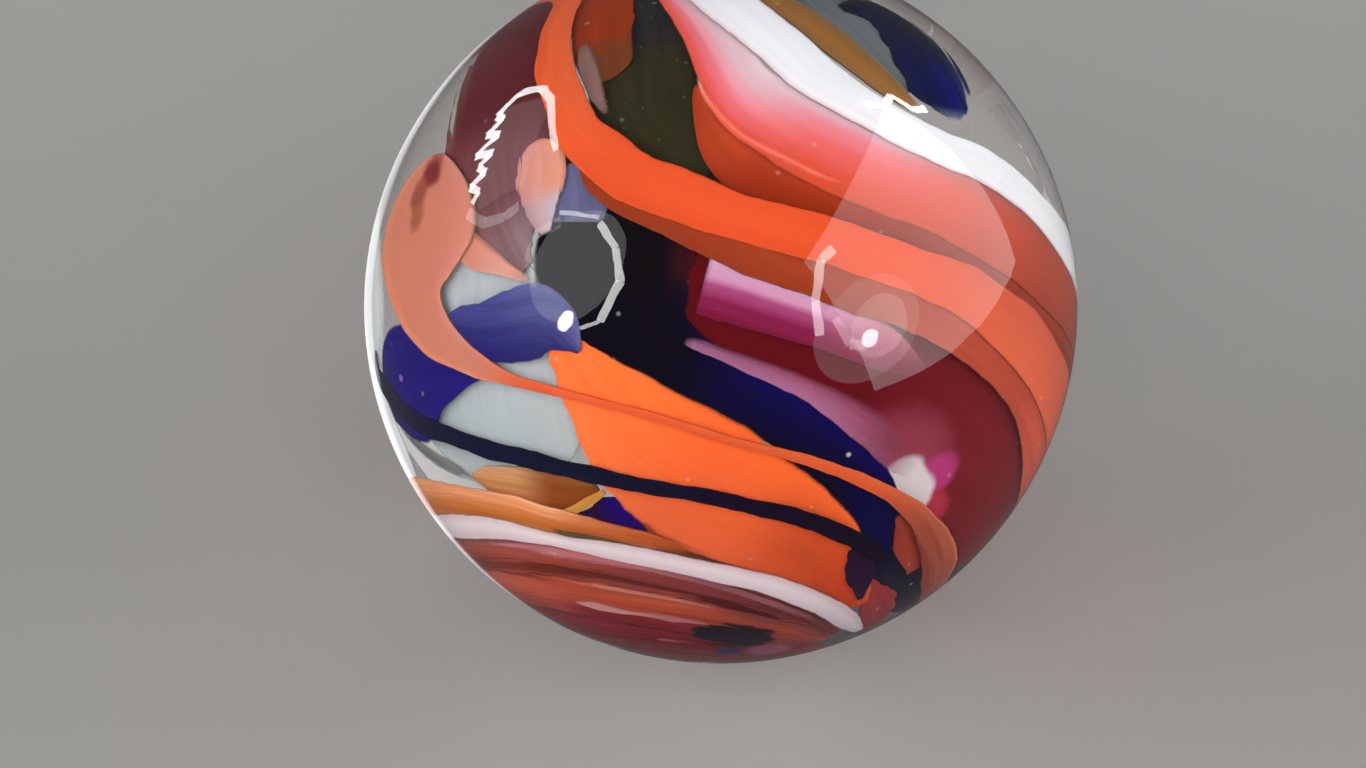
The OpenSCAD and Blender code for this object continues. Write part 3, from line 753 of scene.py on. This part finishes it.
RUBY = [
    (-9, 5, 8), (-5, 3, 16), (4, -1, 19), (15, -5, 22), (26, -10, 26), (38, -16, 31), (52, -24, 35),
    (68, -30, 38), (84, -35, 35), (103, -41, 25), (126, -46, 16), (150, -50, 8), (170, -52, 1),
]
ribbon("ruby_field", RUBY, 4, ribbon_glass(
    "ruby_glass_with_painted_caustic", (98, 6, 16), far=[(0, (112, 30, 36)), (0.5, (116, 30, 38)), (1, (120, 30, 36))],
    turn=(3.5, 6), streak=(92, 18, 28), amount=0.35,
    # The pale fields at (41, -29) and (38.3, -27.3), with the magenta fringe at (46, -25.3), are a painted
    # highlight: a caustic spot painted into the ruby.
    marks=[(37, -24, 8, 9, (142, 56, 72)), (47.5, -33, 4, 4, (178, 50, 72)),
           (46, -25.3, 3.8, 2.2, (176, 56, 116)), (41, -29, 5, 1.8, (214, 206, 208)),
           (38.3, -27.3, 5, 1.8, (214, 206, 206))]),
    "ruby_sheet", columns=24)

CLOUD = [
    (-43.5, 11.5, 2), (-43.4, 8.5, 15), (-43.3, 4, 27), (-43.2, -3, 34), (-43, -11, 38), (-43, -18.5, 40),
    (-42.5, -24.5, 33), (-42, -29.5, 20), (-41.5, -32, 8),
]
ribbon("cloud_field", CLOUD, 4, ribbon_glass(
    "cloud_glass", (182, 190, 192), far=(176, 186, 188), turn=(4, 6), streak=(160, 168, 172), amount=0.4),
    "cloud_sheet", columns=24)

CRIMSON = [
    (-140, -44, 2), (-118, -52, 9), (-88, -60, 12), (-50, -67, 14), (-15, -71, 14), (25, -75, 13),
    (75, -78, 12), (120, -74, 11), (150, -66, 10), (172, -58, 6), (-175, -52, 1),
]
ribbon("crimson_field", CRIMSON, 4, ribbon_glass(
    "crimson_glass", [(0, (158, 48, 58)), (0.35, (138, 24, 40)), (0.6, (114, 8, 24)), (1, (128, 46, 50))],
    streak=(96, 8, 20), amount=0.35, fineness=8, waver=0.2,
    marks=[(14, -75.5, 2.2, 1.5, (48, 36, 92)), (38, -73, 3.5, 3, (150, 80, 104))]), "crimson_sheet")

# Threads and small patches between the ribbons

SLIVER = [(-35, 48, 1.5), (-31.5, 44, 3.2), (-28, 40, 3.5), (-25, 36, 2.6), (-22, 32.5, 1)]
ribbon("grey_sliver", SLIVER, 1, ribbon_glass(
    "sliver_glass", [(0, (124, 90, 80)), (0.5, (142, 110, 104)), (1, (128, 100, 94))],
    streak=(110, 84, 80), amount=0.4, fade=(0.4, 0, 1, 1), last=4))

CORAL_LINE = [
    (-54, 14, 1), (-50, 11.8, 6), (-46.5, 10, 6.4), (-43, 8.4, 5.4), (-39.5, 7, 4), (-36.5, 5.8, 2.6),
    (-32, 4.2, 0.6),
]
ribbon("coral_line", CORAL_LINE, 1, ribbon_glass(
    "coral_line_glass", (204, 132, 112), far=(214, 154, 138), turn=(2, 5), fade=(0.3, 0.1, 0, 1), last=6))

LIGHT_CURVE = [
    (-5, 40, 0.8), (-2.5, 35, 1.4), (2.5, 29.5, 1.6), (7, 26.5, 1.6), (12, 24, 1.5), (17, 21.5, 1.3),
    (22, 19.8, 0.8),
]
ribbon("light_curve", LIGHT_CURVE, 0, ribbon_glass(
    "light_curve_glass", (238, 116, 96), fade=(0.5, 0.5, 1, 1.5), last=6, alpha=0.7))

EMBER = [(38, -36, 1), (41, -38, 4), (44.5, -41, 6), (49, -44.5, 5), (54, -48, 2)]
ribbon("ember_patch", EMBER, 2, ribbon_glass(
    "ember_glass", (138, 48, 42), far=(158, 56, 44), turn=(1, 3), streak=(176, 72, 50), amount=0.4),
    ragged=(0.8, 0.8))

CORAL_PATCH = [
    (40, -50, 1), (44.5, -52.5, 4), (51, -55.5, 6.5), (60, -59.5, 7), (70, -63, 4), (78, -66, 1),
]
ribbon("coral_patch", CORAL_PATCH, 2, ribbon_glass(
    "coral_patch_glass", (150, 48, 48), far=(126, 44, 46), turn=(2, 4), streak=(172, 66, 64), amount=0.5),
    depth=3 * HAIR, ragged=(0.8, 0.8))

GOLD_LINE = [(-38, -36.5, 0.8), (-34, -36, 1.4), (-30, -34.8, 1.7), (-26, -33, 1.7), (-22.5, -31.3, 0.8)]
ribbon("gold_line", GOLD_LINE, 2, ribbon_glass(
    "gold_line_glass", (206, 150, 68), streak=(176, 110, 44), amount=0.4))

OLIVE_LINE = [
    (-38, -38.3, 0.6), (-34, -39.3, 1.7), (-29, -40.2, 2), (-22, -41.3, 1), (-13, -43.2, 0.9),
    (-5, -44.8, 1.2), (6, -47, 0.6),
]
ribbon("olive_line", OLIVE_LINE, 1, ribbon_glass(
    "olive_line_glass", (92, 76, 44), far=(88, 54, 40), turn=(3, 5), fade=(0.3, 0.2, 1, 1), last=6),
    ragged=(0.5, 0.3), depth=-HAIR)

ASH_LINE = [(-75, -19, 0.8), (-68, -23, 3), (-60, -26.5, 3.6), (-52, -29.5, 1)]
ribbon("ash_line", ASH_LINE, 3, ribbon_glass(
    "ash_line_glass", (124, 127, 124), streak=(84, 88, 84), amount=0.5, fade=(0.3, 0.3, 1, 1), last=3))

STREAKS_BELOW = (
    ("mauve_trail", "plum_ribbon", 2, 1, (196, 118, 122), (150, 88, 94), (3, 6), [
        (-66, -41.4, 0.8), (-50, -42.4, 2), (-38.5, -43.9, 3.6), (-28.5, -45.1, 3.4), (-19, -46.8, 2.2),
        (-10, -49.2, 1.8), (0, -51.8, 1.8), (11, -55.3, 1.8), (25, -59.4, 1.6), (42, -63.4, 0.6)]),
    ("umber_trail", "plum_ribbon", 2, 0, (108, 38, 22), (104, 38, 32), (2, 4), [
        (-56, -46, 0.5), (-48, -46.8, 1.5), (-42, -47.6, 1.7), (-31, -49.3, 1.3), (-21, -51.3, 0.9),
        (-11, -53.4, 0.7), (-6, -54.6, 0.4)]),
    ("smoke_trail", "plum_ribbon", 1, 0, (86, 28, 28), (74, 24, 26), (1, 3), [
        (-9, -54, 0.4), (-4, -55.2, 1.3), (1.5, -56.7, 1.8), (7.5, -58.2, 1.6), (16, -60.2, 0.9),
        (22, -61.8, 0.4)]),
    ("shell_trail", "brick_ribbon", 1, 0, (200, 124, 106), (188, 116, 100), (2, 4), [
        (-38, -50.8, 0.4), (-33, -51.7, 0.9), (-27.5, -52.6, 1), (-19.5, -54, 1), (-9, -55.9, 0.8),
        (0, -58.2, 0.4)]),
    ("pearl_trail", "brick_ribbon", 1, 0, (204, 146, 144), (190, 114, 120), (4, 6), [
        (-47, -55.8, 0.4), (-43.5, -56.5, 1.8), (-39, -57.4, 2.8), (-33, -58.6, 2.4), (-28, -59.4, 0.9),
        (-23.5, -60, 1.4), (-17, -61, 2), (-9, -62.1, 1), (-2, -63.2, 0.4)]),
    ("rose_trail", "crimson_sheet", 3, 0, (176, 74, 88), (160, 60, 74), (1, 2), [
        (-33, -69.4, 0.4), (-28, -69.9, 1.2), (-20, -70.8, 1.4), (-10, -71.8, 0.6)]),
)
for name, slot, layer, soft, near, far, turn, stations in STREAKS_BELOW:
    ribbon(name, stations, layer, ribbon_glass(
        name + "_glass", near, far=far, turn=turn, fade=(0.15, 0.15 + 0.3 * soft, 1, 1.5),
        last=len(stations) - 1, waver=0.3), ragged=(0.5, 0.5), depth=-HAIR)

GAPS_FILLED = (
    ("aventurine_tip", "aventurine_ribbon", 4, (44, 42, 30), [
        (-8, 29, 1), (-4, 26, 5), (1, 22.5, 5), (5, 21, 1)]),
    ("umber_under", "honey_ribbon", 4, (176, 84, 38), [
        (-26, -37, 1), (-19, -39, 5), (-10, -42, 5), (0, -45.5, 5), (8, -48.5, 1)]),
    ("azure_under", "azure_chip", 4, (112, 84, 96), [
        (-31, 26, 1), (-28, 24, 5), (-25, 21.5, 5), (-22, 19, 1)]),
    ("crimson_under", "crimson_sheet", 5, (124, 36, 46), [
        (-88, -62, 1), (-74, -72, 6), (-52, -79, 9), (0, -83, 9), (50, -81, 9), (80, -76, 6),
        (92, -70, 1)]),
    ("ink_under", "black_ribbon", 4, (14, 6, 40), [
        (6, -24, 1), (14, -29, 6), (21, -34, 6), (28, -40, 6), (35, -46, 6), (41, -52, 1)]),
)
for name, slot, layer, colour, stations in GAPS_FILLED:
    ribbon(name, stations, layer, ribbon_glass(name + "_glass", colour))

NAVY_BARB = [(30, -43, 1), (33, -45.5, 4), (36, -48.5, 5), (40, -52, 3), (43, -55, 1)]
ribbon("navy_barb", NAVY_BARB, 1, ribbon_glass(
    "barb_glass", (34, 10, 46), streak=(60, 10, 40), amount=0.3), ragged=(0.8, 0.8))


# ---------------------------------------------------------------- the clear ball


def clear_glass():
    """Clear glass that lets direct light through to the ribbons, with a faint fire-polished wobble."""
    wobble_scale, wobble_height = 1400.0, 0.0000025
    material = bpy.data.materials.new("clear_glass")
    material.use_nodes = True
    tree = material.node_tree
    shader = tree.nodes["Principled BSDF"]
    shader.inputs["Base Color"].default_value = (1, 1, 1, 1)
    shader.inputs["Roughness"].default_value = 0.0
    shader.inputs["IOR"].default_value = GLASS_IOR
    shader.inputs["Transmission Weight"].default_value = 1.0
    place = tree.nodes.new("ShaderNodeTexCoord")
    wobble = tree.nodes.new("ShaderNodeTexNoise")
    wobble.inputs["Scale"].default_value = wobble_scale
    wobble.inputs["Detail"].default_value = 1.0
    tree.links.new(place.outputs["Object"], wobble.inputs["Vector"])
    bump = tree.nodes.new("ShaderNodeBump")
    bump.inputs["Strength"].default_value = 1.0
    bump.inputs["Distance"].default_value = wobble_height
    tree.links.new(wobble.outputs[0], bump.inputs["Height"])
    tree.links.new(bump.outputs[0], shader.inputs["Normal"])
    light = tree.nodes.new("ShaderNodeLightPath")
    through = tree.nodes.new("ShaderNodeBsdfTransparent")
    mixed = tree.nodes.new("ShaderNodeMixShader")
    tree.links.new(light.outputs["Is Shadow Ray"], mixed.inputs["Fac"])
    tree.links.new(shader.outputs[0], mixed.inputs[1])
    tree.links.new(through.outputs[0], mixed.inputs[2])
    tree.links.new(mixed.outputs[0], tree.nodes["Material Output"].inputs["Surface"])
    return material


def ball():
    """The ball's fire-polished surface, with the faint ripple that hand rounding leaves."""
    ripple = 0.0004  # of the radius
    broad, fine, fine_share = 4.0, 11.0, 0.3  # waves to the radius
    mesh = bmesh.new()
    bmesh.ops.create_icosphere(mesh, subdivisions=7, radius=1.0)
    for vert in mesh.verts:
        wave = noise.noise(vert.co * broad) + noise.noise(vert.co * fine) * fine_share
        vert.co *= BALL_R * (1 - ripple + ripple * max(-1, min(1, wave)))
    for face in mesh.faces:
        face.smooth = True
    data = bpy.data.meshes.new("glass_ball")
    mesh.to_mesh(data)
    mesh.free()
    piece = bpy.data.objects.new("glass_ball", data)
    bpy.context.scene.collection.objects.link(piece)
    data.materials.append(clear_glass())
    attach(piece, "root")
    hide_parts("clear_glass")


ball()


# ---------------------------------------------------------------- floor, light and camera


def floor():
    """A plain pale floor, a little paler where it is seen through the glass."""
    through_glass = 0.25
    radius = 3.0
    material = bpy.data.materials.new("floor")
    material.use_nodes = True
    shader = material.node_tree.nodes["Principled BSDF"]
    shader.inputs["Base Color"].default_value = srgb(*FLOOR_COLOUR)
    shader.inputs["Roughness"].default_value = 0.9
    shader.inputs["Emission Color"].default_value = srgb(*FLOOR_COLOUR)
    seen = material.node_tree.nodes.new("ShaderNodeLightPath")
    through = math_node(material.node_tree, "MULTIPLY", seen.outputs["Is Transmission Ray"], through_glass)
    material.node_tree.links.new(through, shader.inputs["Emission Strength"])
    mesh = bmesh.new()
    bmesh.ops.create_circle(mesh, cap_ends=True, segments=96, radius=radius)
    bmesh.ops.translate(mesh, verts=mesh.verts, vec=(0, 0, -BALL_R))
    data = bpy.data.meshes.new("floor")
    mesh.to_mesh(data)
    mesh.free()
    data.materials.append(material)
    piece = bpy.data.objects.new("floor", data)
    bpy.context.scene.collection.objects.link(piece)
    piece.visible_glossy = False


def lamp(name, shape, size, strength, place):
    """A lamp of one radiance, strength. Its place is a matrix whose Z is the lamp's back."""
    data = bpy.data.lights.new(name, "AREA")
    data.shape = shape
    data.size, data.size_y = size
    area = size[0] * size[1] * (math.pi / 4 if shape == "ELLIPSE" else 1)
    data.energy = strength * area * math.pi
    item = bpy.data.objects.new(name, data)
    item.matrix_world = place
    item.visible_camera = False
    bpy.context.scene.collection.objects.link(item)
    return item


def softbox(name, direction, size, strength, turn=0.0, shape="RECTANGLE", distance=WINDOW_DISTANCE):
    """A lamp that faces the ball from a distance."""
    away = Vector(direction).normalized()
    facing = (-away).to_track_quat("-Z", "Y").to_matrix() @ Matrix.Rotation(turn, 3, "Z")
    return lamp(name, shape, size, strength, Matrix.Translation(away * distance) @ facing.to_4x4())


def glints(name, width, strength, pieces, jag, directions):
    """Narrow lamps end to end, like the bright edge of a window frame. Each stretch is cut in pieces,
    whose ends are thrown to one side and the other by about jag, as a share of the distance."""
    ends = []
    for start, end in zip(directions, directions[1:]):
        ends += [Vector(start).lerp(Vector(end), step / pieces) for step in range(pieces)]
    ends.append(Vector(directions[-1]))
    throws = [Vector((0, 0, 0)) for end in ends]
    for number in range(1, len(ends) - 1):
        across = ends[number].cross(ends[number + 1] - ends[number - 1]).normalized()
        side = (-1) ** number * (1 + noise.noise((number * 0.7, width * 100, 0.5)))  # uneven teeth
        throws[number] = across * jag * side
    ends = [(end + throw).normalized() for end, throw in zip(ends, throws)]
    made = []
    for number, (start, end) in enumerate(zip(ends, ends[1:])):
        run = (end - start) * WINDOW_DISTANCE
        along, out = run.normalized(), (start + end).normalized()
        facing = Matrix((along, out.cross(along), out)).transposed().to_4x4()
        place = Matrix.Translation((start + end) / 2 * WINDOW_DISTANCE) @ facing
        made.append(lamp(f"{name}_{number + 1}", "RECTANGLE", (run.length, width), strength, place))
    return made


def room_light():
    """A dim room round the lamps, with one pale place low down at the back that the ball's rim mirrors."""
    pale_place, pale_from, pale_to = (-0.25, 0.69, -0.69), 0.972, 0.99
    world = bpy.data.worlds.new("room")
    world.use_nodes = True
    tree = world.node_tree
    back = tree.nodes["Background"]
    back.inputs["Color"].default_value = (1, 1, 1, 1)
    place = tree.nodes.new("ShaderNodeTexCoord")
    toward = tree.nodes.new("ShaderNodeVectorMath")
    toward.operation = "DOT_PRODUCT"
    tree.links.new(place.outputs["Generated"], toward.inputs[0])
    toward.inputs[1].default_value = Vector(pale_place).normalized()
    low_glow = map_range(tree, toward.outputs["Value"], pale_from, pale_to)
    seen = tree.nodes.new("ShaderNodeLightPath")
    mirrored = math_node(tree, "MULTIPLY", low_glow, seen.outputs["Is Glossy Ray"])
    tree.links.new(math_node(tree, "ADD", mirrored, ROOM_STRENGTH), back.inputs["Strength"])
    bpy.context.scene.world = world


def camera():
    """The camera looks at the face, and aims a little to the left of the ball's middle and below it."""
    radii_away = 32
    to_left, downward = math.radians(0.19), math.radians(-0.387)
    data = bpy.data.cameras.new("camera")
    data.sensor_width = 36
    data.lens = 300.8
    data.clip_start = 0.01
    item = bpy.data.objects.new("camera", data)
    away = Vector((0, -math.cos(FACE_TILT), math.sin(FACE_TILT)))
    item.location = away * BALL_R * radii_away
    aim = (-away).to_track_quat("-Z", "Y").to_matrix()
    aim = aim @ Matrix.Rotation(to_left, 3, "Y") @ Matrix.Rotation(downward, 3, "X")
    item.rotation_euler = aim.to_euler()
    bpy.context.scene.collection.objects.link(item)
    bpy.context.scene.camera = item


floor()
for name, direction, strength in (
    ("front_fill", (0.0, -0.8, 0.6), 1.3),
    ("left_fill", (-0.95, -0.25, 0.2), 2.8),
    ("right_fill", (0.95, -0.1, 0.25), 1.9),
):
    fill = softbox(name, direction, FILL_SIZE, strength, distance=FILL_DISTANCE)
    fill.visible_glossy = False
windows = [
    softbox("right_window", (0.91, -0.06, 0.42), (0.85, 0.62), 2.2, turn=-0.26),
    softbox("right_window_glow", (0.74, -0.55, 0.39), (0.42, 0.3), 1.1, shape="ELLIPSE"),
    softbox("right_window_core", (0.78, -0.5, 0.37), (0.22, 0.18), 1.8, shape="ELLIPSE"),
    softbox("left_window", (-0.8, 0.47, 0.37), (0.28, 0.2), 0.6),
    softbox("round_window", (-0.725, -0.32, 0.61), (0.305, 0.39), 1.5, shape="ELLIPSE"),
    softbox("round_window_spot", (-0.77, -0.5, 0.4), (0.05, 0.07), 22, shape="ELLIPSE"),
    softbox("right_window_spot", (0.74, -0.57, 0.35), (0.06, 0.05), 14, shape="ELLIPSE"),
]
for name, width, strength, pieces, jag, directions in (
    ("right_frame", 0.032, 8, 1, 0, [
        (0.58, -0.33, 0.75), (0.52, -0.41, 0.75), (0.5, -0.59, 0.64), (0.52, -0.7, 0.49)]),
    ("right_frame_foot", 0.03, 4, 1, 0, [
        (0.6, -0.61, 0.53), (0.66, -0.65, 0.38), (0.72, -0.6, 0.33)]),
    ("right_sill", 0.018, 16, 2, 0.025, [
        (0.58, 0.53, 0.62), (0.64, 0.61, 0.46), (0.7, 0.65, 0.31)]),
    ("left_frame_top", 0.022, 11, 1, 0, [
        (-0.72, 0.66, 0.21), (-0.65, 0.71, 0.27), (-0.62, 0.69, 0.38), (-0.63, 0.61, 0.48),
        (-0.7, 0.32, 0.63)]),
    ("left_frame_side", 0.019, 12, 5, 0.045, [
        (-0.92, 0.34, 0.2), (-0.83, 0.51, 0.24), (-0.72, 0.66, 0.21)]),
    ("left_frame_foot", 0.028, 2.5, 1, 0, [
        (-0.93, 0.32, 0.17), (-0.94, 0.2, 0.27), (-0.91, 0.15, 0.38), (-0.87, 0.15, 0.47)]),
    ("round_frame", 0.012, 8, 1, 0, [
        (-0.76, -0.02, 0.65), (-0.61, -0.15, 0.78)]),
    ("round_frame_side", 0.026, 12, 1, 0, [
        (-0.61, -0.18, 0.78), (-0.54, -0.34, 0.77), (-0.53, -0.5, 0.69), (-0.62, -0.61, 0.5)]),
    ("round_frame_rim", 0.03, 2, 1, 0, [
        (-0.76, -0.07, 0.64), (-0.85, -0.05, 0.52), (-0.89, -0.14, 0.44), (-0.87, -0.27, 0.41)]),
    ("round_frame_foot", 0.012, 10, 1, 0, [
        (-0.62, -0.61, 0.5), (-0.71, -0.57, 0.41)]),
):
    windows += glints(name, width, strength, pieces, jag, directions)
for window in windows:
    window.visible_diffuse = False

room_light()
bpy.context.scene.view_settings.view_transform = "Standard"

camera()
